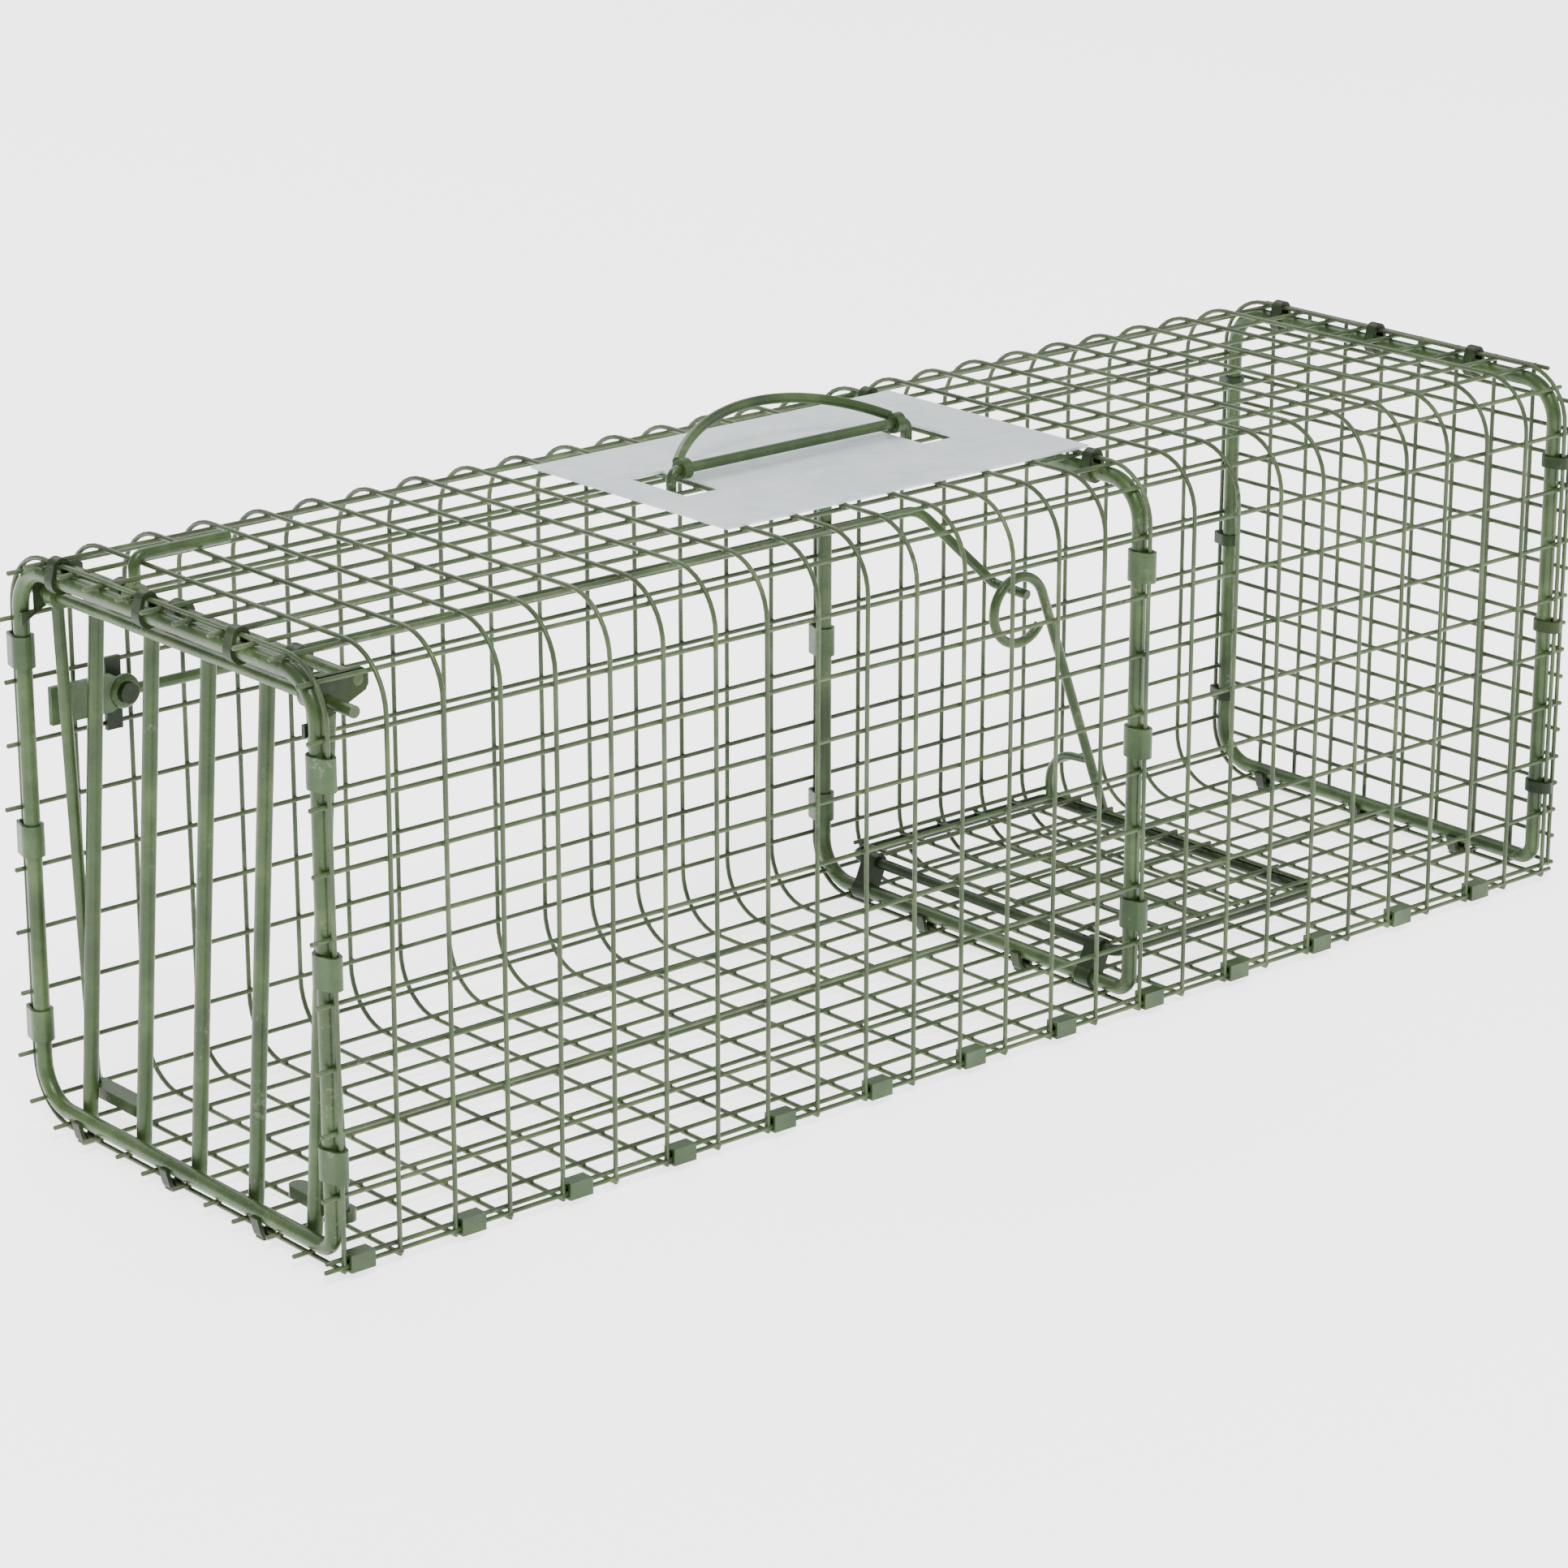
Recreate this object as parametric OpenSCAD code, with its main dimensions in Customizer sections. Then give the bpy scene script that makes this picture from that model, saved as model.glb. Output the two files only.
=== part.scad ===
// Live catch trap: a rolled welded-wire cage on three bar frames, with a drop door,
// two lock arms, a treadle pan, a long trigger rod and a hinged carry handle.
// Millimetres. X runs from the door (-X) to the closed rear (+X), Z is up.
// Origin: centre of the cage in plan, at the level it stands on.

/* [Cage] */
// Length between the front and rear frames
cage_l = 650; // [500:25:900]
// Outside width of the wire mesh
cage_w = 204; // [190:1:260]
// Outside height of the wire mesh
cage_h = 229; // [215:1:280]
// Outside radius of the rolled mesh corners
mesh_bend = 24; // [22:1:28]

/* [Mesh] */
// Thickness of a mesh wire
wire = 2; // [1.6:0.1:2.4]
// Spacing of the hoop wires along the cage
hoop_pitch = 25; // [25:25:50]
// Spacing of the long wires on the side walls
wall_pitch = 24.5; // [20:0.5:25]
// Spacing of the long wires across the floor
floor_pitch = 19.8; // [18:0.2:20]
// Spacing of the long wires across the roof
roof_pitch = 19.25; // [19:0.25:19.25]

/* [Frames] */
// Diameter of the three bar frames
frame_d = 6.4; // [5:0.1:6.4]
// Position of the middle frame along the cage
middle_x = 75; // [0:25:100]

/* [Door] */
// Diameter of the upright door bars
door_bar_d = 6; // [4:0.1:6]
// Spacing of the upright door bars
door_bar_pitch = 37; // [30:1:37]
// Opening angle of the drawn door
door_open = 0; // [0:1:84]

/* [Pan] */
// Length of the treadle pan
pan_l = 116; // [90:1:130]
// Height of the level pan above its hinge line
pan_rise = 12; // [11:0.5:14]

/* [Handle] */
// Distance between the two eyes of the handle
handle_span = 112; // [90:1:118]
// Height of the handle arch above its pivot bar
handle_rise = 26; // [20:1:34]
// Lean of the handle from upright
handle_lean = 58; // [0:1:80]

/* [Hidden] */
$fn = 48;

green = "#5f7a55";
dark_green = "#44583c";
steel = "#c4ccca";

// Mesh levels and corners
ring_wall = 1.7;
ring_gap = 0.3;
slack = 0.05;
weld = 0.3;
lap = 0.05;
layer = 2 * wire - weld;
z_floor = ring_wall + ring_gap;
z_roof = z_floor + cage_h;
y_side = cage_w / 2;
y_bend = y_side - mesh_bend;
z_bend_low = z_floor + mesh_bend;
z_bend_high = z_roof - mesh_bend;
x_rear = cage_l / 2;
x_front = -x_rear;
stub = 9;
x_panel = x_rear + frame_d / 2 + ring_wall + 0.4;
x_mesh = [x_front - stub, x_panel];
hoop_x = [for (i = [0 : cage_l / hoop_pitch]) x_front + i * hoop_pitch];

// Long wires, by wall
near_wall_low = z_floor + layer + slack;
near_z = [for (k = [0 : 8]) near_wall_low + 1.25 + k * wall_pitch];
far_z = [for (k = [0 : 7]) z_bend_low + 2 + k * (wall_pitch + 0.5)];
floor_y = [for (k = [0 : 9]) -y_side + wire / 2 + k * floor_pitch];
roof_y = [for (k = [-4 : 4]) k * roof_pitch];

// Frames lie just inside the mesh
frame_r = frame_d / 2;
frame_gap = 0.1;
frame_in = layer + frame_gap + frame_r;
y_post = y_side - frame_in;
z_low_bar = z_floor + frame_in;
z_top_bar = z_roof - frame_in;
frame_bend = mesh_bend - frame_in;
seam_bend = 7;

// Clips round a frame bar and the mesh beside it
clip_wall = 1.3;
clip_len = 12.5;
ring_len = 5;
wrap_tip = 1.9;
near_clip_z = [for (k = [1, 4, 7]) (near_z[k] + near_z[k + 1]) / 2];
far_clip_z = [for (k = [0, 3, 6]) (far_z[k] + far_z[k + 1]) / 2];
roof_ring_y = [for (k = [1, 4, 7]) (roof_y[k] + roof_y[k + 1]) / 2];
floor_ring_y = [for (k = [2, 5, 8]) (floor_y[k] + floor_y[k + 1]) / 2];
middle_roof_ring_y = [for (k = [0, 7]) (roof_y[k] + roof_y[k + 1]) / 2];
middle_floor_ring_y = [for (k = [3, 6]) (floor_y[k] + floor_y[k + 1]) / 2];
seam_wall = 1.2;
seam_len = 10.8;

// Door hinge and lock axle
rod_d = 4.6;
run = 0.05;
eye_r = rod_d / 2 + 2.3;
door_x = x_front + 20.5;
door_z = z_roof - 12;
door_len = 212.5;
door_tilt = 3.8;
cross_drop = 8.2;
axle_x = x_front + 7.5;
axle_z = z_roof - 17.5;
arm_y = 81.5;
arm_d = 4.8;
foot_x = x_front + 14;
foot_z = z_floor + 15;
foot_w = 7.6;
lever_y = (roof_y[6] + roof_y[7]) / 2;
lever_d = 4.6;
plate_y = y_post - frame_r - 2;

// Trigger and pan
trigger_y = 89.2;
trigger_d = 4.6;
pin_x = x_front + 40;
pin_z = 168;
trigger_end = [[124, trigger_y, 166.5], [144, 62, 135.5], [146.5, 43.4, 133.8]];
pan_front = 5;
pan_rear = pan_front + pan_l;
pan_y = [-82, 80];
pan_wire = 4.8;
pan_rod_y = 47;
ring_r = 14.8;
ring_c = [145, 126.5];

// Handle
handle_x = -22;
handle_y = 4.5;
handle_z = z_roof + 5.5;
handle_d = 4.2;
plate_t = 1.1;
plate_x = [x_front + 215, x_front + 405];
plate_half_w = 60;

function unit(v) = v / norm(v);

// A box between two opposite corners
module span(a, b) {
    translate([min(a.x, b.x), min(a.y, b.y), min(a.z, b.z)])
        cube([abs(a.x - b.x), abs(a.y - b.y), abs(a.z - b.z)]);
}

// A straight round bar between two points
module rod(a, b, d) {
    v = b - a;
    translate(a)
        rotate([0, acos(v.z / norm(v)), atan2(v.y, v.x)])
            cylinder(d = d, h = norm(v));
}

// The round bend of a wire at corner p between points a and b
module wire_bend(a, p, b, d, bend) {
    u = unit(a - p);
    w = unit(b - p);
    half = acos(u * w) / 2;
    c = p + unit(u + w) * bend / sin(half);
    ex = unit(p + u * bend / tan(half) - c);
    ez = unit(cross(ex, p + w * bend / tan(half) - c));
    ey = cross(ez, ex);
    multmatrix([[ex.x, ey.x, ez.x, c.x], [ex.y, ey.y, ez.y, c.y], [ex.z, ey.z, ez.z, c.z], [0, 0, 0, 1]])
        rotate_extrude(angle = 180 - 2 * half)
            translate([bend, 0])
                circle(d = d + lap);
}

function setback(a, p, b, bend) = bend / tan(acos(unit(a - p) * unit(b - p)) / 2);

// A bent wire through a list of points, one bend radius per inner corner
module bent_wire(pts, bends, d) {
    n = len(pts);
    for (i = [0 : n - 2]) {
        u = unit(pts[i + 1] - pts[i]);
        from = i == 0 ? 0 : setback(pts[i - 1], pts[i], pts[i + 1], bends[i - 1]) - lap;
        to = i == n - 2 ? 0 : setback(pts[i], pts[i + 1], pts[i + 2], bends[i]) - lap;
        rod(pts[i] + u * from, pts[i + 1] - u * to, d);
    }
    for (i = [1 : n - 2]) wire_bend(pts[i - 1], pts[i], pts[i + 1], d, bends[i - 1]);
}

// Side wall of crossed wires: uprights outside, long wires inside
module side_mesh(side, z0, z1, zs) {
    y0 = side * y_side;
    y1 = y0 - side * wire;
    for (x = hoop_x) span([x - wire / 2, y0, z0], [x + wire / 2, y1, z1]);
    for (z = zs)
        span([x_mesh[0], y1 + side * weld, z - wire / 2], [x_mesh[1], y0 - side * layer, z + wire / 2]);
}

// Floor or roof of crossed wires
module level_mesh(z0, up, y0, y1, ys) {
    z1 = z0 + up * wire;
    for (x = hoop_x) span([x - wire / 2, y0, z0], [x + wire / 2, y1, z1]);
    for (y = ys)
        span([x_mesh[0], y - wire / 2, z1 - up * weld], [x_mesh[1], y + wire / 2, z0 + up * layer]);
}

// Rolled corner of the mesh, with one long wire half way round it
module corner_mesh(y, z, start) {
    r_out = mesh_bend;
    translate([0, y, z])
        rotate([start, 0, 0]) {
            for (x = hoop_x)
                translate([x - wire / 2, 0, 0])
                    rotate([90, 0, 90])
                        rotate_extrude(angle = 90)
                            translate([r_out - wire, 0])
                                square([wire, wire]);
            rotate([45, 0, 0])
                span([x_mesh[0], r_out - layer, -wire / 2], [x_mesh[1], r_out - wire + weld, wire / 2]);
        }
}

module near_wall_mesh() {
    color(green) side_mesh(-1, near_wall_low, z_bend_high, near_z);
}

module far_wall_mesh() {
    color(green) side_mesh(1, z_bend_low, z_bend_high, far_z);
}

module roof_mesh() {
    color(green) level_mesh(z_roof, -1, -y_bend, y_bend, roof_y);
}

module floor_mesh() {
    color(green) level_mesh(z_floor, 1, -y_side, y_bend, floor_y);
}

module near_roof_bend() {
    color(green) corner_mesh(-y_bend, z_bend_high, 90);
}

module far_roof_bend() {
    color(green) corner_mesh(y_bend, z_bend_high, 0);
}

module far_floor_bend() {
    color(green) corner_mesh(y_bend, z_bend_low, -90);
}

// Rear panel: wires cut to the rolled outline of the cage
panel_r = mesh_bend - wire;
panel_y = y_side - wire - 1;
panel_low = z_floor + 4;
panel_high = z_roof - wire;
function over(v) = sqrt(max(panel_r * panel_r - v * v, 0));
function panel_top(y) = abs(y) < y_bend ? panel_high : z_bend_high + over(abs(y) - y_bend);
function panel_bottom(y) = y < y_bend ? panel_low : z_bend_low - over(y - y_bend);
function panel_far(z) = z > z_bend_high ? y_bend + over(z - z_bend_high) - 1
    : z < z_bend_low ? y_bend + over(z_bend_low - z) - 1 : panel_y + 1;
function panel_near(z) = z > z_bend_high ? panel_far(z) : panel_y + 1;

module rear_panel_mesh() {
    cols = 9;
    rows = 18;
    x0 = x_panel;
    color(green) {
        for (i = [0 : cols]) {
            y = -panel_y + i * 2 * panel_y / cols;
            span([x0, y - wire / 2, panel_bottom(y)], [x0 + wire, y + wire / 2, panel_top(y)]);
        }
        for (j = [0 : rows]) {
            z = panel_low + 1 + j * (panel_high - panel_low - 2) / rows;
            span([x0 + wire - weld, -panel_near(z), z - wire / 2], [x0 + layer, panel_far(z), z + wire / 2]);
        }
    }
}

// One closed bar frame, welded half way along its bottom bar
module bar_frame(x) {
    pts = [[x, 0, z_low_bar], [x, y_post, z_low_bar], [x, y_post, z_top_bar],
        [x, -y_post, z_top_bar], [x, -y_post, z_low_bar], [x, 0, z_low_bar]];
    bent_wire(pts, [frame_bend, frame_bend, frame_bend, seam_bend], frame_d);
}

module front_frame() {
    color(green) bar_frame(x_front);
}

module middle_frame() {
    color(green) bar_frame(middle_x);
}

module rear_frame() {
    color(green) bar_frame(x_rear);
}

// Outline of a strip wrapped round a frame bar (at the origin) and the hoop wire at +Y
module wrap_outline(wall) {
    r = frame_r + slack + wall;
    tip = wrap_tip + wall;
    mid = frame_in + ring_gap - wrap_tip;
    a = asin((r - tip) / mid);
    circle(r = r);
    translate([0, mid]) circle(r = tip);
    polygon([[-r * cos(a), r * sin(a)], [r * cos(a), r * sin(a)],
        [tip * cos(a), mid + tip * sin(a)], [-tip * cos(a), mid + tip * sin(a)]]);
}

module wrap(wall, length) {
    linear_extrude(height = length, center = true)
        difference() {
            wrap_outline(wall);
            wrap_outline(0);
        }
}

// Clip under a bottom bar: open on its upper side, with a flat foot
module foot_clip() {
    mid = frame_in + ring_gap - wrap_tip;
    linear_extrude(height = ring_len, center = true)
        difference() {
            union() {
                wrap_outline(ring_wall);
                translate([-2.4, mid]) square([4.8, wrap_tip + ring_wall]);
            }
            wrap_outline(0);
            translate([-10, -10]) square([20, 10]);
        }
}

module post_clips(x, length) {
    for (z = near_clip_z) translate([x, -y_post, z]) rotate([0, 0, 180]) wrap(clip_wall, length);
    for (z = far_clip_z) translate([x, y_post, z]) wrap(clip_wall, length);
}

module bar_rings(x, tops, bottoms) {
    for (y = tops) translate([x, y, z_top_bar]) rotate([90, 0, 0]) wrap(ring_wall, ring_len);
    for (y = bottoms) translate([x, y, z_low_bar]) rotate([-90, 0, 0]) foot_clip();
}

module front_frame_clips() {
    color(green) post_clips(x_front, clip_len);
}

module middle_frame_clips() {
    color(green) post_clips(middle_x, clip_len);
}

module rear_frame_clips() {
    color(dark_green) post_clips(x_rear, ring_len);
}

module front_frame_rings() {
    color(dark_green) bar_rings(x_front, roof_ring_y, floor_ring_y);
}

module middle_frame_rings() {
    color(dark_green) bar_rings(middle_x, middle_roof_ring_y, middle_floor_ring_y);
}

module rear_frame_rings() {
    color(dark_green) bar_rings(x_rear, roof_ring_y, floor_ring_y);
}

// Square crimps that close the seam between the floor and the near wall
module seam_clips() {
    y0 = -y_side - slack;
    y1 = -y_side + layer + 2 * slack;
    z0 = z_floor + wire - weld - slack;
    z1 = near_z[0] + wire / 2 + slack;
    color(green)
        for (i = [0 : 2 : len(hoop_x) - 2]) {
            x = hoop_x[i] + wire / 2 + 0.6;
            difference() {
                span([x, y0 - seam_wall, z0 - seam_wall], [x + seam_len, y1 + seam_wall, z1 + seam_wall]);
                span([x - 1, y0, z0], [x + seam_len + 1, y1, z1]);
            }
        }
}

module door_hinge_rod() {
    y = y_post - frame_r - 0.2;
    color(green) rod([door_x, -y, door_z], [door_x, y, door_z], rod_d);
}

// Both ends poke out through the side walls
module lock_axle() {
    y = y_side + 5;
    color(green) rod([axle_x, -y, axle_z], [axle_x, y, axle_z], rod_d);
}

// Ear on the inside of a front post that holds both rods
module hinge_plate(side) {
    back = x_front + frame_r + 0.2;
    outline = [[x_front - 3, z_bend_high - 5], [axle_x - 2, z_bend_high], [axle_x + 3, z_bend_high + 2],
        [door_x + 3, door_z - 4.2], [door_x + 4.2, door_z - 2], [door_x + 4.2, door_z + 2.5],
        [door_x + 2, door_z + 4.2], [back, door_z + 4.2], [back, z_bend_high], [x_front - 3, z_bend_high]];
    y0 = side * (y_post - frame_r - 0.1);
    hole = rod_d / 2 + 0.02;
    translate([0, side > 0 ? y0 : y0 + 2, 0])
        rotate([90, 0, 0])
            linear_extrude(height = 2)
                difference() {
                    polygon(outline);
                    translate([door_x, door_z]) circle(r = hole);
                    translate([axle_x, axle_z]) circle(r = hole);
                }
}

module hinge_plate_near() {
    color(dark_green) hinge_plate(-1);
}

module hinge_plate_far() {
    color(dark_green) hinge_plate(1);
}

// Galvanised plate under the handle, with a slot for each end of the pivot bar
module roof_plate() {
    slot = [18, 36];
    color(steel)
        translate([0, 0, z_roof + slack])
            linear_extrude(height = plate_t)
                difference() {
                    translate([plate_x[0], -plate_half_w])
                        square([plate_x[1] - plate_x[0], 2 * plate_half_w]);
                    for (side = [-1, 1])
                        translate([handle_x + side * (handle_span / 2 + 6) - slot.x / 2, handle_y - 20])
                            square(slot);
                }
}

// Straight bar over the plate, hooked under the roof wires at both ends
module handle_pivot_bar() {
    hook = z_roof - layer - 0.1 - handle_d / 2;
    x0 = handle_x - handle_span / 2 - 6;
    x1 = handle_x + handle_span / 2 + 6;
    color(green)
        bent_wire([[x0, handle_y + 18, hook], [x0, handle_y, hook], [x0, handle_y, handle_z],
            [x1, handle_y, handle_z], [x1, handle_y, hook], [x1, handle_y + 18, hook]],
            [4, 4, 4, 4], handle_d);
}

// Round eye on an axis along X or Y, cut by its hole
module eye(r_out, r_in, width) {
    difference() {
        cylinder(r = r_out, h = width, center = true);
        cylinder(r = r_in, h = width + 2, center = true);
    }
}

module carry_handle() {
    start = 4;
    rise = handle_rise - start;
    half = handle_span / 2;
    r = (half * half + rise * rise) / (2 * rise);
    sweep = asin(half / r);
    color(green)
        translate([handle_x, handle_y, handle_z])
            rotate([-handle_lean, 0, 0]) {
                for (side = [-1, 1])
                    translate([side * half, 0, 0])
                        rotate([0, 90, 0])
                            eye(handle_d / 2 + 2.1, handle_d / 2 + run, handle_d);
                translate([0, 0, handle_rise - r])
                    rotate([90, 0, 0])
                        rotate([0, 0, 90 - sweep])
                            rotate_extrude(angle = 2 * sweep)
                                translate([r, 0])
                                    circle(d = handle_d);
            }
}

// Strip on the far wall that carries the trigger pin
module trigger_bracket() {
    y = y_side - layer - 0.1;
    color(dark_green)
        difference() {
            span([pin_x - 3.5, y - 2, pin_z - 17], [pin_x + 3.5, y, pin_z + 12]);
            rod([pin_x, y - 3, pin_z], [pin_x, y + 1, pin_z], 3.04);
        }
}

module trigger_pin() {
    y = y_side - layer - 0.1;
    head = trigger_y - trigger_d / 2 - 0.3;
    color(dark_green) {
        rod([pin_x, y, pin_z], [pin_x, y - 2.05, pin_z], 3);
        rod([pin_x, y - 2.05, pin_z], [pin_x, head, pin_z], trigger_d - 0.2);
        rod([pin_x, head, pin_z], [pin_x, head - 2, pin_z], 8);
    }
}

// Long rod: an eye on the pin, a straight run along the far wall, and a hook
module trigger_rod() {
    y = trigger_y;
    eye_mid = trigger_d;
    color(green) {
        translate([pin_x, y, pin_z])
            rotate([90, 0, 0])
                rotate_extrude()
                    translate([eye_mid, 0])
                        circle(d = trigger_d);
        bent_wire(concat([[pin_x + eye_mid, y, pin_z]], trigger_end), [10, 4], 4.4);
    }
}

// Flat tongue of the trigger rod, in front of its eye
module catch_plate() {
    y = trigger_y;
    color(green)
        translate([0, y + 1.2, 0])
            rotate([90, 0, 0])
                linear_extrude(height = 2.4)
                    difference() {
                        polygon([[x_front + 7, pin_z - 7], [x_front + 7, pin_z + 8],
                            [pin_x - 6, pin_z + 8], [pin_x - 1, pin_z + 5], [pin_x - 1, pin_z - 4.5],
                            [pin_x - 6, pin_z - 7]]);
                        translate([pin_x, pin_z]) circle(r = 1.5 * trigger_d + 0.02);
                    }
}

// The door is drawn hanging from its hinge axis at the origin
module door_pose() {
    translate([door_x, 0, door_z]) rotate([0, door_tilt - door_open, 0]) children();
}

module door_bars() {
    color(green)
        door_pose()
            for (k = [-2 : 2])
                rod([0, k * door_bar_pitch, -door_len],
                    [0, k * door_bar_pitch, -cross_drop - door_bar_d / 2 - 0.02], door_bar_d);
}

module door_cross_bar() {
    y = 2 * door_bar_pitch + door_bar_d / 2;
    color(green)
        door_pose()
            rod([0, -y, -cross_drop], [0, y, -cross_drop], door_bar_d);
}

// Strap across two parallel bars: it turns on the first and grips the second
module double_strap(drop, r_run, r_grip, r_out, width) {
    rotate([90, 0, 0])
        linear_extrude(height = width, center = true)
            difference() {
                union() {
                    circle(r = r_out);
                    translate([0, -drop]) circle(r = r_out);
                    translate([-r_out, -drop]) square([2 * r_out, drop]);
                }
                circle(r = r_run);
                translate([0, -drop]) circle(r = r_grip);
            }
}

module door_hinge_straps() {
    color(dark_green)
        door_pose()
            for (y = [-1.5, 0.5, 1.5])
                translate([0, y * door_bar_pitch, 0])
                    double_strap(cross_drop, rod_d / 2 + run, door_bar_d / 2 + 0.02, eye_r, 6);
}

// Lever that stands up through the roof and lies back over it
module door_lever() {
    top = z_roof + 0.4 + lever_d / 2 - door_z;
    color(green)
        translate([door_x, lever_y, door_z])
            rotate([0, -door_open, 0]) {
                rotate([0, door_tilt, 0])
                    double_strap(cross_drop, rod_d / 2 + run, door_bar_d / 2 + 0.02, eye_r, 5);
                difference() {
                    bent_wire([[0, 0, 0], [0, 0, top], [42, 0, top]], [4.5], lever_d);
                    rotate([90, 0, 0]) cylinder(r = rod_d / 2 + run, h = 20, center = true);
                }
            }
}

module lock_arm(side) {
    translate([0, side * arm_y, 0])
        difference() {
            union() {
                rod([axle_x, 0, axle_z], [foot_x, 0, foot_z], arm_d);
                translate([axle_x, 0, axle_z]) rotate([90, 0, 0]) cylinder(r = eye_r, h = 5, center = true);
            }
            translate([axle_x, 0, axle_z])
                rotate([90, 0, 0])
                    cylinder(r = rod_d / 2 + run, h = 12, center = true);
        }
}

// Flattened foot that lies level behind the end bars of the door, under the arm
module lock_foot(side) {
    r = foot_w / 2;
    tip = 48 + r;
    root = arm_y + arm_d / 2 + 1 - r;
    translate([foot_x - 2.3 + r, 0, foot_z - 4.55])
        linear_extrude(height = 4.5) {
            translate([-r, side > 0 ? tip : -root]) square([foot_w, root - tip]);
            translate([0, side * tip]) circle(r = r);
            translate([0, side * root]) circle(r = r);
        }
}

module lock_arm_near() {
    color(green) lock_arm(-1);
}

module lock_foot_near() {
    color(green) lock_foot(-1);
}

module lock_arm_far() {
    color(green) lock_arm(1);
}

module lock_foot_far() {
    color(green) lock_foot(1);
}

// The pan turns on the bottom bar of the middle frame, and its own frame lies above that
module pan_pose() {
    translate([middle_x, 0, z_low_bar]) children();
}

module pan_frame() {
    z = pan_rise;
    pts = [[pan_front, 0, z], [pan_front, pan_y[1], z], [pan_rear, pan_y[1], z], [pan_rear, pan_y[0], z],
        [pan_front, pan_y[0], z], [pan_front, 0, z]];
    color(dark_green) pan_pose() bent_wire(pts, [5, 5, 5, 5], pan_wire);
}

module pan_mesh() {
    z0 = pan_rise + pan_wire / 2 + 0.02;
    x0 = pan_front + 5;
    cells = [5, 8];
    color(green)
        pan_pose() {
            for (i = [0 : cells[0]]) {
                x = x0 + i * (pan_rear - x0) / cells[0];
                span([x - wire / 2, pan_y[0], z0], [x + wire / 2, pan_y[1], z0 + wire]);
            }
            for (j = [0 : cells[1]]) {
                y = pan_y[0] + j * (pan_y[1] - pan_y[0]) / cells[1];
                span([pan_front, y - wire / 2, z0 + wire - weld], [pan_rear, y + wire / 2, z0 + layer]);
            }
        }
}

module pan_hinge_straps() {
    r_run = frame_r + run;
    color(dark_green)
        pan_pose()
            for (y = [(floor_y[1] + floor_y[2]) / 2, (floor_y[8] + floor_y[9]) / 2])
                translate([0, y, 0])
                    rotate([0, 180 + atan(pan_front / pan_rise), 0])
                        pan_strap(norm([pan_front, pan_rise]), r_run, r_run + 1.4, pan_wire / 2 + 0.02);
}

// Strap that turns on the frame bar and grips the front bar of the pan
module pan_strap(reach, r_run, r_out, r_grip) {
    grip_out = r_grip + 1.4;
    rotate([90, 0, 0])
        linear_extrude(height = 8, center = true)
            difference() {
                union() {
                    circle(r = r_out);
                    translate([0, -reach]) circle(r = grip_out);
                    translate([-grip_out, -reach]) square([2 * grip_out, reach]);
                }
                circle(r = r_run);
                translate([0, -reach]) circle(r = r_grip);
            }
}

// Upright rod of the pan, curled into an open ring round the trigger hook
module pan_rod() {
    base = [middle_x + pan_rear + pan_wire / 2 + 1.9, z_low_bar + pan_rise - 1];
    v = ring_c - base;
    lean = atan2(-v.x, v.y) - asin(ring_r / norm(v));
    reach = sqrt(norm(v) * norm(v) - ring_r * ring_r);
    color(green)
        translate([0, pan_rod_y, 0])
            rotate([90, 0, 0]) {
                translate(base)
                    rotate([-90, 0, lean])
                        cylinder(d = 4.4, h = reach + lap);
                translate(ring_c)
                    rotate([0, 0, lean])
                        rotate_extrude(angle = 305)
                            translate([ring_r, 0])
                                circle(d = 4.4 + lap);
            }
}

// Curved stay from the upright rod out to the far rear corner of the pan
module pan_rod_brace() {
    x = middle_x + pan_rear;
    z = z_low_bar + pan_rise;
    color(green)
        bent_wire([[x - 5.5, pan_rod_y + 1, z + 27], [x - 4, pan_y[1] - 3, z + 24.5],
            [x - 1, pan_y[1] - 3, z + 0.5]], [20], 3.6);
}

near_wall_mesh();
far_wall_mesh();
roof_mesh();
floor_mesh();
near_roof_bend();
far_roof_bend();
far_floor_bend();
rear_panel_mesh();
front_frame();
middle_frame();
rear_frame();
front_frame_clips();
middle_frame_clips();
rear_frame_clips();
front_frame_rings();
middle_frame_rings();
rear_frame_rings();
seam_clips();
door_hinge_rod();
lock_axle();
hinge_plate_near();
hinge_plate_far();
roof_plate();
handle_pivot_bar();
carry_handle();
trigger_bracket();
trigger_pin();
trigger_rod();
catch_plate();
door_bars();
door_cross_bar();
door_hinge_straps();
door_lever();
lock_arm_near();
lock_foot_near();
lock_arm_far();
lock_foot_far();
pan_frame();
pan_mesh();
pan_hinge_straps();
pan_rod();
pan_rod_brace();
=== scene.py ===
import math
import random

import bmesh
import bpy
from mathutils import Matrix, Vector


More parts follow.
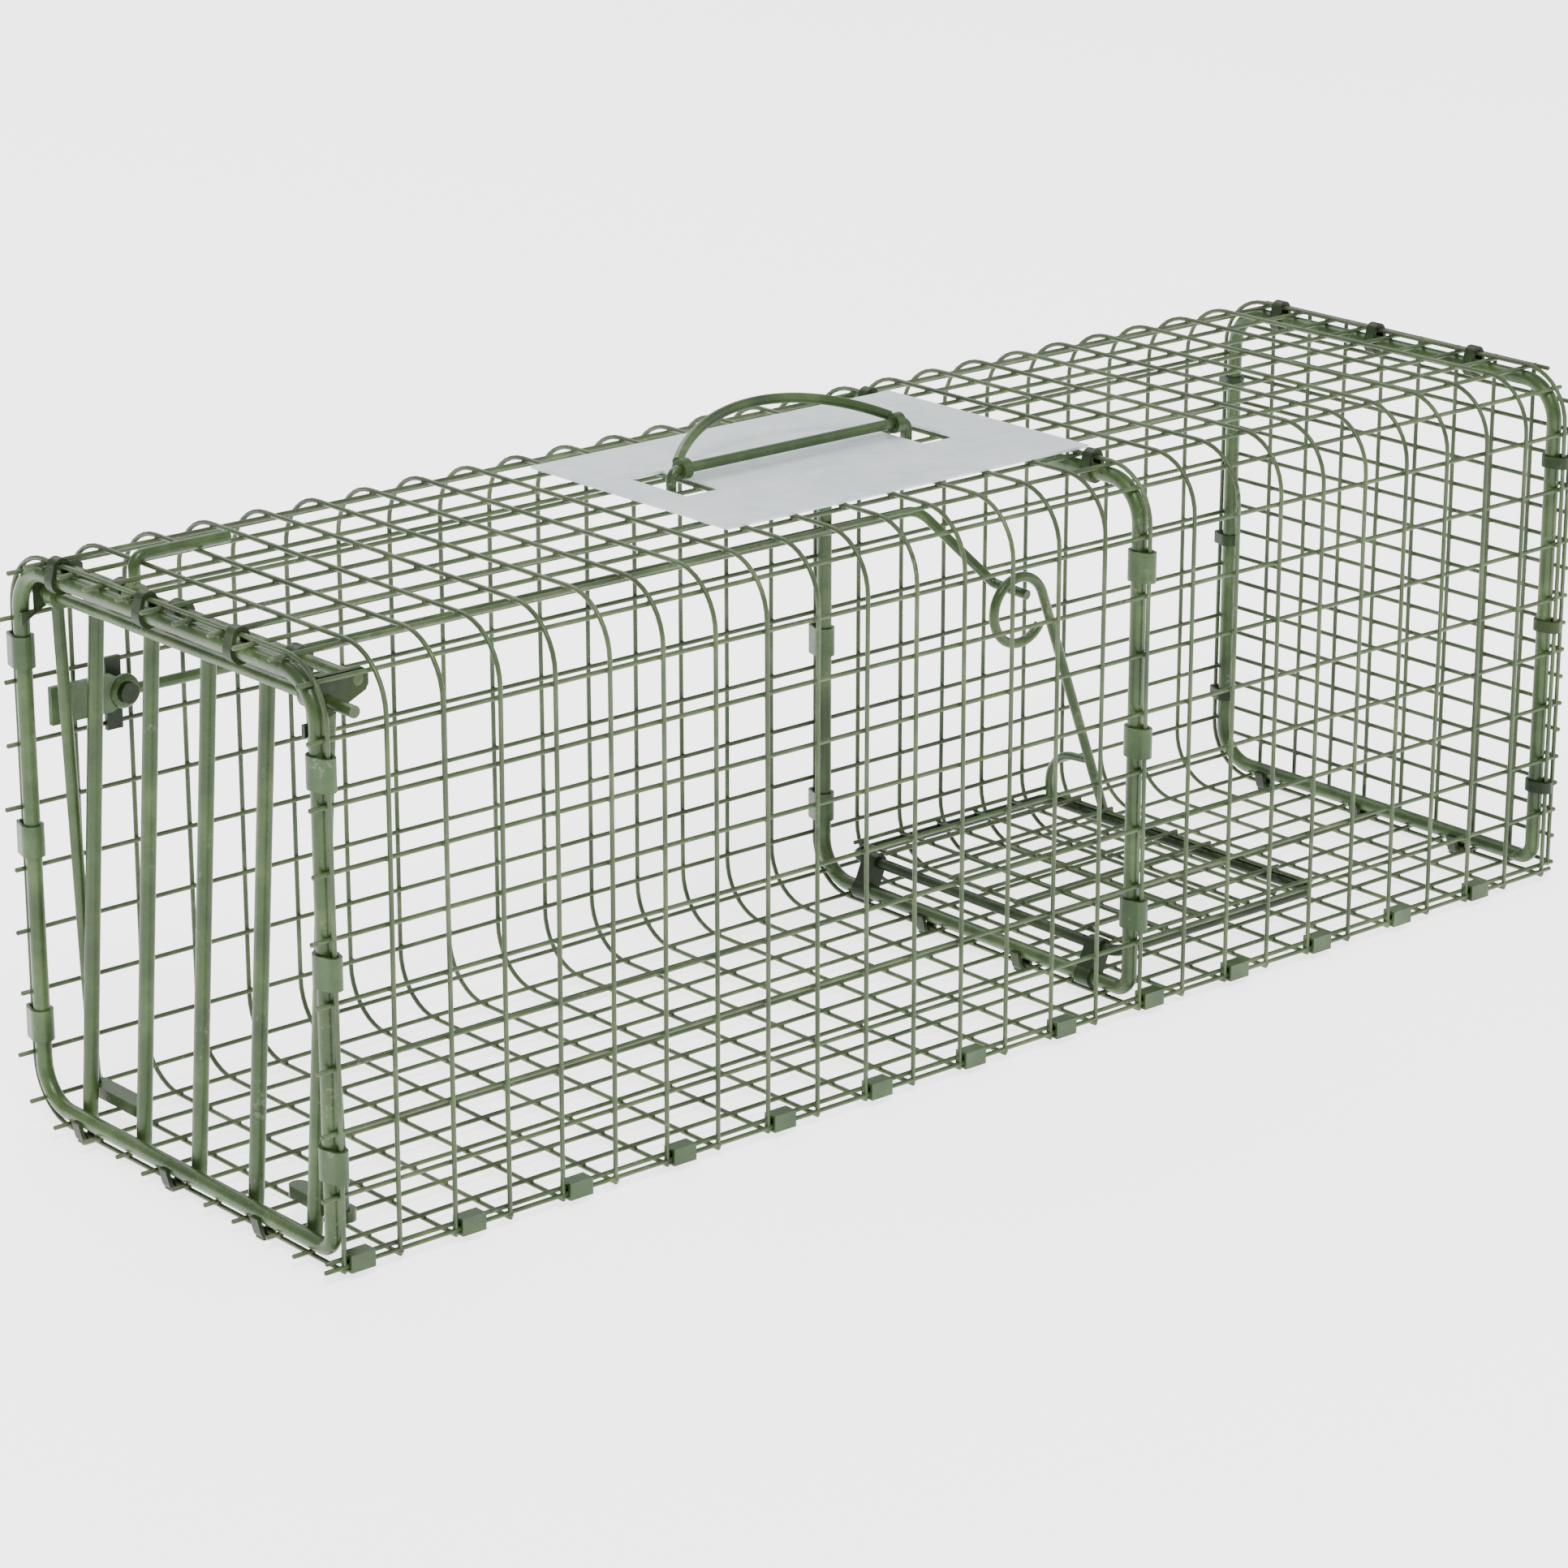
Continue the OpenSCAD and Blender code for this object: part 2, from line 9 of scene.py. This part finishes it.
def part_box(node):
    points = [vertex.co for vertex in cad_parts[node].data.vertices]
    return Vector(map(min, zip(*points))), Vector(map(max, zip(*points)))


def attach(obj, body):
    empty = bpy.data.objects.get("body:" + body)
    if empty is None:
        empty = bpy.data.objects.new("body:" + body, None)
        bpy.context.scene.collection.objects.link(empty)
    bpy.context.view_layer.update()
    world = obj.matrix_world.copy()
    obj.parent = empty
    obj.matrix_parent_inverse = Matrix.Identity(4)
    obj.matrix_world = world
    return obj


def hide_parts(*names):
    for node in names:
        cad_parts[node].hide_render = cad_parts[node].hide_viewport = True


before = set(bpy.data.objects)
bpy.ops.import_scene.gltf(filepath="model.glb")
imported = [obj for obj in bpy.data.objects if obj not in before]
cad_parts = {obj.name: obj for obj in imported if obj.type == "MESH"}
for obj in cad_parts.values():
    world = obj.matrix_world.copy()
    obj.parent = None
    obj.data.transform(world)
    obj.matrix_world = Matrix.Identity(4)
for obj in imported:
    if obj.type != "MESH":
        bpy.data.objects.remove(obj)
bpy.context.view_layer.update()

MM = 0.001
# Half the width of the square CAD wires, and the radius of the round wires that replace them
HALF = 1.0 * MM
WIRE_R = 0.95 * MM

# ---------------------------------------------------------------- materials

BARE = (0.12, 0.145, 0.09)
FLOOR_COLOUR = (0.93, 0.93, 0.92)
FLOOR_DIM = 0.985
FLOOR_GLOW = 2.4


def new_material(name):
    """An empty node material with a Principled shader, and a helper that adds nodes to it."""
    mat = bpy.data.materials.new(name)
    mat.use_nodes = True
    tree = mat.node_tree
    tree.nodes.clear()
    out = tree.nodes.new("ShaderNodeOutputMaterial")
    shader = tree.nodes.new("ShaderNodeBsdfPrincipled")
    tree.links.new(shader.outputs["BSDF"], out.inputs["Surface"])

    def add(kind, **inputs):
        node = tree.nodes.new(kind)
        for key, value in inputs.items():
            node.inputs[key].default_value = value
        return node

    return mat, tree, shader, add


def ramp(add, stops):
    """A colour ramp with the given (position, colour) stops."""
    node = add("ShaderNodeValToRGB")
    elements = node.color_ramp.elements
    while len(elements) < len(stops):
        elements.new(0.5)
    for element, (place, colour) in zip(elements, stops):
        element.position = place
        element.color = (*colour, 1.0)
    return node


def coated(name, dark, mid, light, rough=0.38, wear=0.5, shine=0.32):
    """Dipped green coating on steel wire: mottled colour, thin worn spots, fine orange peel."""
    mat, tree, shader, add = new_material(name)
    link = tree.links.new
    place = add("ShaderNodeTexCoord").outputs["Object"]

    # Mottled colour
    broad = add("ShaderNodeTexNoise", Scale=38.0, Detail=5.0, Roughness=0.6)
    link(place, broad.inputs["Vector"])
    tone = ramp(add, [(0.3, dark), (0.52, mid), (0.74, light)])
    link(broad.outputs["Fac"], tone.inputs["Fac"])

    # Worn spots, gathered in patches
    specks = add("ShaderNodeTexNoise", Scale=420.0, Detail=3.0, Roughness=0.7)
    link(place, specks.inputs["Vector"])
    patches = add("ShaderNodeTexNoise", Scale=55.0, Detail=2.0)
    link(place, patches.inputs["Vector"])
    both = add("ShaderNodeMath")
    both.operation = "MULTIPLY"
    link(specks.outputs["Fac"], both.inputs[0])
    link(patches.outputs["Fac"], both.inputs[1])
    worn = ramp(add, [(0.36, (0, 0, 0)), (0.44, (wear, wear, wear))])
    link(both.outputs["Value"], worn.inputs["Fac"])

    mix = add("ShaderNodeMix")
    mix.data_type = "RGBA"
    link(worn.outputs["Color"], mix.inputs["Factor"])
    link(tone.outputs["Color"], mix.inputs["A"])
    mix.inputs["B"].default_value = (*BARE, 1.0)
    link(mix.outputs["Result"], shader.inputs["Base Color"])

    # The specks are also where the gloss varies
    gloss = add("ShaderNodeMapRange")
    gloss.inputs["To Min"].default_value = rough - 0.1
    gloss.inputs["To Max"].default_value = rough + 0.16
    link(specks.outputs["Fac"], gloss.inputs["Value"])
    link(gloss.outputs["Result"], shader.inputs["Roughness"])

    # Orange peel over the slow unevenness of the dip
    peel = add("ShaderNodeTexNoise", Scale=1100.0, Detail=2.0)
    link(place, peel.inputs["Vector"])
    height = add("ShaderNodeMath")
    height.operation = "ADD"
    link(peel.outputs["Fac"], height.inputs[0])
    link(broad.outputs["Fac"], height.inputs[1])
    bump = add("ShaderNodeBump", Strength=0.35, Distance=0.0003)
    link(height.outputs["Value"], bump.inputs["Height"])
    link(bump.outputs["Normal"], shader.inputs["Normal"])

    shader.inputs["Metallic"].default_value = 0.1
    shader.inputs["Specular IOR Level"].default_value = shine
    shader.inputs["Coat Weight"].default_value = 0.25 * shine
    shader.inputs["Coat Roughness"].default_value = 0.3
    return mat


def galvanised(name):
    """Galvanised sheet: soft spangle and long faint scratches."""
    mat, tree, shader, add = new_material(name)
    link = tree.links.new
    place = add("ShaderNodeTexCoord").outputs["Object"]

    spangle = add("ShaderNodeTexVoronoi", Scale=150.0, Randomness=1.0)
    link(place, spangle.inputs["Vector"])
    grain = add("ShaderNodeSeparateColor")
    link(spangle.outputs["Color"], grain.inputs["Color"])
    cloud = add("ShaderNodeTexNoise", Scale=14.0, Detail=6.0, Roughness=0.6)
    link(place, cloud.inputs["Vector"])
    blend = add("ShaderNodeMath")
    blend.operation = "MULTIPLY_ADD"
    blend.inputs[1].default_value = 0.22
    link(grain.outputs["Red"], blend.inputs[0])
    link(cloud.outputs["Fac"], blend.inputs[2])
    tone = ramp(add, [(0.3, (0.50, 0.56, 0.56)), (0.6, (0.62, 0.68, 0.68)), (0.9, (0.72, 0.77, 0.77))])
    link(blend.outputs["Value"], tone.inputs["Fac"])
    link(tone.outputs["Color"], shader.inputs["Base Color"])

    stretch = add("ShaderNodeMapping", Scale=(12.0, 900.0, 900.0))
    link(place, stretch.inputs["Vector"])
    scratch = add("ShaderNodeTexNoise", Scale=1.0, Detail=3.0)
    link(stretch.outputs["Vector"], scratch.inputs["Vector"])
    gloss = add("ShaderNodeMapRange")
    gloss.inputs["To Min"].default_value = 0.32
    gloss.inputs["To Max"].default_value = 0.56
    link(scratch.outputs["Fac"], gloss.inputs["Value"])
    link(gloss.outputs["Result"], shader.inputs["Roughness"])
    bump = add("ShaderNodeBump", Strength=0.12, Distance=0.0002)
    link(scratch.outputs["Fac"], bump.inputs["Height"])
    link(bump.outputs["Normal"], shader.inputs["Normal"])
    shader.inputs["Metallic"].default_value = 0.55
    return mat


def studio(name, colour):
    """Plain glowing floor with a trace of unevenness."""
    mat, tree, shader, add = new_material(name)
    noise = add("ShaderNodeTexNoise", Scale=3.0, Detail=2.0)
    tone = ramp(add, [(0.0, [c * FLOOR_DIM for c in colour]), (1.0, colour)])
    tree.links.new(noise.outputs["Fac"], tone.inputs["Fac"])
    tree.links.new(tone.outputs["Color"], shader.inputs["Base Color"])
    tree.links.new(tone.outputs["Color"], shader.inputs["Emission Color"])
    shader.inputs["Emission Strength"].default_value = FLOOR_GLOW
    shader.inputs["Roughness"].default_value = 0.9
    return mat


wire_mat = coated("coated_mesh_wire", (0.022, 0.036, 0.012), (0.040, 0.062, 0.022), (0.078, 0.105, 0.048))
bar_mat = coated("coated_bar", (0.014, 0.029, 0.006), (0.030, 0.056, 0.014), (0.066, 0.105, 0.036), rough=0.3)
clip_mat = coated("coated_clip", (0.012, 0.028, 0.006), (0.026, 0.053, 0.014), (0.060, 0.100, 0.036),
                  rough=0.34, wear=0.6)
# Painted shade: a much darker copy of the same green coat, for the small parts that sit back, inside the cage
# or tucked against other parts
shaded_coat_mat = coated("coated_painted_shade", (0.005, 0.010, 0.003), (0.012, 0.023, 0.006), (0.032, 0.050, 0.016),
                  rough=0.44, wear=0.2, shine=0.2)
plate_mat = galvanised("galvanised_sheet")

# ---------------------------------------------------------------- mesh building


def tube(bm, pts, radius, sides=10):
    """Sweeps a round section along the points, with slightly rounded closed ends."""
    pts = [Vector(p) for p in pts]
    count = len(pts)
    tangents = []
    for i in range(count):
        t = pts[min(i + 1, count - 1)] - pts[max(i - 1, 0)]
        tangents.append(t.normalized())
    normal = tangents[0].orthogonal().normalized()
    rings = []
    end_reach, end_scale = 0.35 * radius, 0.6
    stations = [(pts[0] - tangents[0] * end_reach, tangents[0], end_scale)]
    stations += [(p, t, 1.0) for p, t in zip(pts, tangents)]
    stations.append((pts[-1] + tangents[-1] * end_reach, tangents[-1], end_scale))
    for p, t, k in stations:
        normal = (normal - t * normal.dot(t)).normalized()
        side = t.cross(normal)
        ring = []
        for j in range(sides):
            a = 2 * math.pi * j / sides
            ring.append(bm.verts.new(p + (normal * math.cos(a) + side * math.sin(a)) * radius * k))
        rings.append(ring)
    for a, b in zip(rings, rings[1:]):
        for j in range(sides):
            bm.faces.new((a[j], a[(j + 1) % sides], b[(j + 1) % sides], b[j]))
    bm.faces.new(list(reversed(rings[0])))
    bm.faces.new(rings[-1])


def weld(bm, centre, size):
    """A small flattened nugget where two wires are welded."""
    turn = Matrix.Rotation(random.uniform(0, math.pi), 4, "Z")
    scale = Matrix.Diagonal((*[s * random.uniform(0.9, 1.12) for s in size], 1.0))
    place = Matrix.Translation(centre) @ scale @ turn
    bmesh.ops.create_icosphere(bm, subdivisions=1, radius=1.0, matrix=place)


def as_piece(name, bm, mat, body, nodes=()):
    """Turns the built mesh into an object that rides on a body."""
    bmesh.ops.recalc_face_normals(bm, faces=bm.faces)
    mesh = bpy.data.meshes.new(name)
    bm.to_mesh(mesh)
    bm.free()
    for poly in mesh.polygons:
        poly.use_smooth = True
    obj = bpy.data.objects.new(name, mesh)
    bpy.context.scene.collection.objects.link(obj)
    obj.data.materials.append(mat)
    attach(obj, body)
    if nodes:
        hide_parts(*nodes)


def wobble(pts, amount):
    """Lets a wire wander a little, as rolled and welded wire does."""
    phase = [random.uniform(0, 6.28) for _ in range(3)]
    rate = [random.uniform(18, 30) for _ in range(3)]
    out = []
    for p in pts:
        s = p[0] + p[1] + p[2]
        out.append([c + amount * math.sin(phase[k] + rate[k] * s) for k, c in enumerate(p)])
    return out


def line(a, b, step=0.012):
    """Evenly spaced points from a to b, about one step apart."""
    count = max(2, int(math.dist(a, b) / step) + 1)
    return [[a[k] + (b[k] - a[k]) * i / (count - 1) for k in range(3)] for i in range(count)]


def arc(x, centre, radius, start, stop, count=10):
    """Points of an arc in the plane of a hoop, angles in degrees from +Y towards +Z."""
    out = []
    for i in range(count):
        a = math.radians(start + (stop - start) * i / (count - 1))
        out.append([x, centre[0] + radius * math.cos(a), centre[1] + radius * math.sin(a)])
    return out


def wire(bm, a, b, amount):
    """A straight wire from a to b that wanders by up to the given amount."""
    tube(bm, wobble(line(a, b), amount), WIRE_R)


def evenly(first, last, cells):
    """The cells + 1 places from first to last."""
    return [first + (last - first) * i / cells for i in range(cells + 1)]


# ---------------------------------------------------------------- rolled cage mesh

CAGE_WOBBLE = 0.12 * MM
PANEL_WOBBLE = 0.1 * MM
# How deep the centre lines of the hoops and of the long wires lie in the wall
HOOP_IN = 1.0 * MM
LONG_IN = 2.7 * MM
# Near floor seam: how high up a hoop starts, and how far short of the side it ends
SEAM_LIFT = 3.4 * MM
SEAM_IN = 0.6 * MM
FIRST_HOOP, HOOP_PITCH, HOOPS = -0.325, 0.025, 27
# Welds stand out by this much, which a corner wire shares between two directions
WELD_OUT = 0.9 * MM
CORNER_SHARE = 0.7
CAGE_WELD = (1.5 * MM, 1.25 * MM, 1.25 * MM)
# Rows above this height belong to the roof, and the others to the floor
MID_Z = 0.1

random.seed(7)
side_low, side_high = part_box("near_wall_mesh")
far_low, far_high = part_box("far_wall_mesh")
roof_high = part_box("roof_mesh")[1]
floor_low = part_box("floor_mesh")[0]
bend = far_low[2] - floor_low[2]
y_near, y_far = side_low[1], far_high[1]
z_floor, z_roof = floor_low[2], roof_high[2]
# Centres of the rolled corners
y_bend = roof_high[1]
top_c, low_c = z_roof - bend, z_floor + bend
hoops_x = [FIRST_HOOP + HOOP_PITCH * i for i in range(HOOPS)]

bm = bmesh.new()
r = bend - HOOP_IN
y_in, z_in = y_near + HOOP_IN, z_floor + HOOP_IN
for x in hoops_x:
    path = line([x, y_in, z_floor + SEAM_LIFT], [x, y_in, top_c])[:-1]
    path += arc(x, (-y_bend, top_c), r, 180, 90)
    path += line([x, -y_bend, z_roof - HOOP_IN], [x, y_bend, z_roof - HOOP_IN])[1:-1]
    path += arc(x, (y_bend, top_c), r, 90, 0)
    path += line([x, y_far - HOOP_IN, top_c], [x, y_far - HOOP_IN, low_c])[1:-1]
    path += arc(x, (y_bend, low_c), r, 0, -90)
    path += line([x, y_bend, z_in], [x, y_near + SEAM_IN, z_in])[1:]
    tube(bm, wobble(path, CAGE_WOBBLE), WIRE_R)
as_piece("cage_hoop_wires", bm, wire_mat, "cage",
         ["near_wall_mesh", "far_wall_mesh", "roof_mesh", "floor_mesh", "near_roof_bend", "far_roof_bend",
          "far_floor_bend"])

# Heights or places across of the long wires, wall by wall, as in the CAD model
near_z = [0.007 + 0.0245 * k for k in range(9)]
far_z = [0.028 + 0.025 * k for k in range(8)]
floor_y = [-0.101 + 0.0198 * k for k in range(10)]
roof_y = [0.01925 * k for k in range(-4, 5)]
slant = (bend - LONG_IN) * math.sqrt(0.5)
# Y, Z and the directions (sideways, upright) in which the welds of the row stand out
long_rows = [(y_near + LONG_IN, z, (1, 0)) for z in near_z]
long_rows += [(y_far - LONG_IN, z, (1, 0)) for z in far_z]
long_rows += [(y, z_floor + LONG_IN, (0, 1)) for y in floor_y]
long_rows += [(y, z_roof - LONG_IN, (0, 1)) for y in roof_y]
long_rows += [(-y_bend - slant, top_c + slant, (1, 1)), (y_bend + slant, top_c + slant, (1, 1)),
              (y_bend + slant, low_c - slant, (1, 1))]
bm = bmesh.new()
nuggets = bmesh.new()
for y, z, across in long_rows:
    reach = random.uniform(-3.5, -0.2) * MM
    wire(bm, [side_low[0] - reach, y, z], [side_high[0], y, z], CAGE_WOBBLE)
    out = WELD_OUT * (CORNER_SHARE if all(across) else 1)
    out_y = out * across[0] * (1 if y > 0 else -1)
    out_z = out * across[1] * (1 if z > MID_Z else -1)
    for x in hoops_x:
        weld(nuggets, (x, y + out_y, z + out_z), CAGE_WELD)
as_piece("cage_long_wires", bm, wire_mat, "cage")
as_piece("cage_wire_welds", nuggets, wire_mat, "cage")

# ---------------------------------------------------------------- rear panel

COLUMN_CELLS, ROW_CELLS = 9, 18
OUTER_COLUMN = 0.099
PANEL_WELD = (1.25 * MM, 1.45 * MM, 1.45 * MM)

panel_low, panel_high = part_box("rear_panel_mesh")
panel_r = bend - 2 * HALF
z_low, z_high = panel_low[2], panel_high[2]
x_col, x_row = panel_low[0] + HALF, panel_high[0] - HALF
columns = evenly(-OUTER_COLUMN, OUTER_COLUMN, COLUMN_CELLS)
rows = evenly(z_low + HALF, z_high - HALF, ROW_CELLS)


def over(v):
    """How far the rolled corner reaches beyond its centre, at distance v to one side of it."""
    return math.sqrt(max(panel_r * panel_r - v * v, 0))


def row_end(z, far):
    """How far out the row at height z ends, on the far side or on the near side."""
    if z > top_c:
        return y_bend + over(z - top_c) - HALF
    if far and z < low_c:
        return y_bend + over(low_c - z) - HALF
    return OUTER_COLUMN + HALF


def column_ends(y):
    """Heights of the lower and the upper end of the column at y."""
    high = z_high if abs(y) < y_bend else top_c + over(abs(y) - y_bend)
    low = z_low if y < y_bend else low_c - over(y - y_bend)
    return low, high


bm = bmesh.new()
nuggets = bmesh.new()
for y in columns:
    low, high = column_ends(y)
    wire(bm, [x_col, y, low], [x_col, y, high], PANEL_WOBBLE)
for z in rows:
    wire(bm, [x_row, -row_end(z, False), z], [x_row, row_end(z, True), z], PANEL_WOBBLE)
    for y in columns:
        low, high = column_ends(y)
        if low <= z <= high:
            weld(nuggets, ((x_col + x_row) / 2, y, z), PANEL_WELD)
as_piece("rear_panel_wires", bm, wire_mat, "cage", ["rear_panel_mesh"])
as_piece("rear_panel_welds", nuggets, wire_mat, "cage")

# ---------------------------------------------------------------- pan mesh

PAN_CELLS = (5, 8)
PAN_ROD_R = 2.4 * MM
FIRST_ROW_IN = 5 * MM
PAN_WELD = (1.45 * MM, 1.45 * MM, 1.2 * MM)

pan_low, pan_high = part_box("pan_mesh")
pan_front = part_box("pan_frame")[0][0] + PAN_ROD_R
last_row = pan_high[0] - HALF
row_z, rib_z = pan_low[2] + HALF, pan_high[2] - HALF
pan_y0, pan_y1 = pan_low[1] + HALF, pan_high[1] - HALF
rib_ys = evenly(pan_y0, pan_y1, PAN_CELLS[1])

bm = bmesh.new()
nuggets = bmesh.new()
for x in evenly(pan_front + FIRST_ROW_IN, last_row, PAN_CELLS[0]):
    wire(bm, [x, pan_y0, row_z], [x, pan_y1, row_z], PANEL_WOBBLE)
    for y in rib_ys:
        weld(nuggets, (x, y, (row_z + rib_z) / 2), PAN_WELD)
for y in rib_ys:
    wire(bm, [pan_front, y, rib_z], [last_row + HALF, y, rib_z], PANEL_WOBBLE)
as_piece("pan_wires", bm, wire_mat, "pan", ["pan_mesh"])
as_piece("pan_wire_welds", nuggets, wire_mat, "pan")

# ---------------------------------------------------------------- carried-over parts

# Nodes that are not listed are plain coated bars
NODE_MATERIALS = {
    "roof_plate": plate_mat,
    "seam_clips": clip_mat,
    "front_frame_clips": clip_mat,
    "middle_frame_clips": clip_mat,
    # The rear frame's clips get the painted-shade coat, while the same clips further forward keep the plain
    # clip coat
    "rear_frame_clips": shaded_coat_mat,
    "front_frame_rings": shaded_coat_mat,
    "middle_frame_rings": shaded_coat_mat,
    "rear_frame_rings": shaded_coat_mat,
    "hinge_plate_near": shaded_coat_mat,
    "hinge_plate_far": shaded_coat_mat,
    "door_hinge_straps": shaded_coat_mat,
    "pan_hinge_straps": shaded_coat_mat,
    "pan_frame": shaded_coat_mat,
    "trigger_pin": shaded_coat_mat,
    "trigger_bracket": shaded_coat_mat,
    "catch_plate": clip_mat,
}
# Widths in mm of the softened edges, where a part has sharp ones
ROUNDED = {
    "roof_plate": 0.25, "trigger_pin": 0.3, "seam_clips": 0.35,
    "front_frame_clips": 0.4, "middle_frame_clips": 0.4, "rear_frame_clips": 0.4,
    "hinge_plate_near": 0.4, "hinge_plate_far": 0.4, "door_hinge_straps": 0.4, "pan_hinge_straps": 0.4,
    "trigger_bracket": 0.4, "catch_plate": 0.4,
    "front_frame_rings": 0.5, "middle_frame_rings": 0.5, "rear_frame_rings": 0.5,
    "lock_foot_near": 0.5, "lock_foot_far": 0.5,
}
SHARP_ANGLE = 50
for node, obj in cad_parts.items():
    mat = NODE_MATERIALS.get(node, bar_mat)
    if not obj.material_slots:
        obj.data.materials.append(mat)
    for material_slot in obj.material_slots:
        material_slot.material = mat
    if node in ROUNDED:
        soft = obj.modifiers.new("soft_edges", "BEVEL")
        soft.width = ROUNDED[node] * MM
        soft.segments = 2
        soft.limit_method = "ANGLE"
        soft.angle_limit = math.radians(SHARP_ANGLE)

# ---------------------------------------------------------------- stage, light and camera

FLOOR_REACH = 30
FLOOR_DROP = 0.5 * MM
AIM = (0, 0, 0.1)

corners = [(x * FLOOR_REACH, y * FLOOR_REACH, 0) for x, y in ((-1, -1), (1, -1), (1, 1), (-1, 1))]
floor_sheet = bpy.data.meshes.new("studio_floor")
floor_sheet.from_pydata(corners, [], [(0, 1, 2, 3)])
floor = bpy.data.objects.new("studio_floor", floor_sheet)
floor.location.z = -FLOOR_DROP
bpy.context.scene.collection.objects.link(floor)
floor.data.materials.append(studio("studio_floor", FLOOR_COLOUR))


def area_light(name, place, size, power):
    """A square soft light that points at the middle of the trap."""
    light = bpy.data.lights.new(name, "AREA")
    light.shape = "SQUARE"
    light.size = size
    light.energy = power
    obj = bpy.data.objects.new(name, light)
    obj.location = place
    obj.rotation_euler = (Vector(AIM) - Vector(place)).to_track_quat("-Z", "Y").to_euler()
    bpy.context.scene.collection.objects.link(obj)


area_light("key_light", (-1.3, -1.6, 3.0), 1.2, 115)
area_light("fill_light", (2.4, -1.6, 1.6), 2.0, 20)
area_light("back_light", (0.4, 2.2, 2.6), 2.2, 60)

world = bpy.data.worlds.new("studio")
world.use_nodes = True
world.node_tree.nodes["Background"].inputs["Color"].default_value = (0.97, 0.98, 1.0, 1.0)
world.node_tree.nodes["Background"].inputs["Strength"].default_value = 0.95
bpy.context.scene.world = world

camera_data = bpy.data.cameras.new("camera")
camera_data.sensor_width = 36.0
camera_data.lens = 110.7
camera_data.clip_start = 0.05
camera_data.clip_end = 100.0
camera = bpy.data.objects.new("camera", camera_data)
camera.location = (-1.2399, -1.4029, 0.7179)
yaw, pitch = math.radians(40.78), math.radians(18.52)
forward = Vector((math.sin(yaw) * math.cos(pitch), math.cos(yaw) * math.cos(pitch), -math.sin(pitch)))
camera.rotation_euler = forward.to_track_quat("-Z", "Y").to_euler()
bpy.context.scene.collection.objects.link(camera)
bpy.context.scene.camera = camera
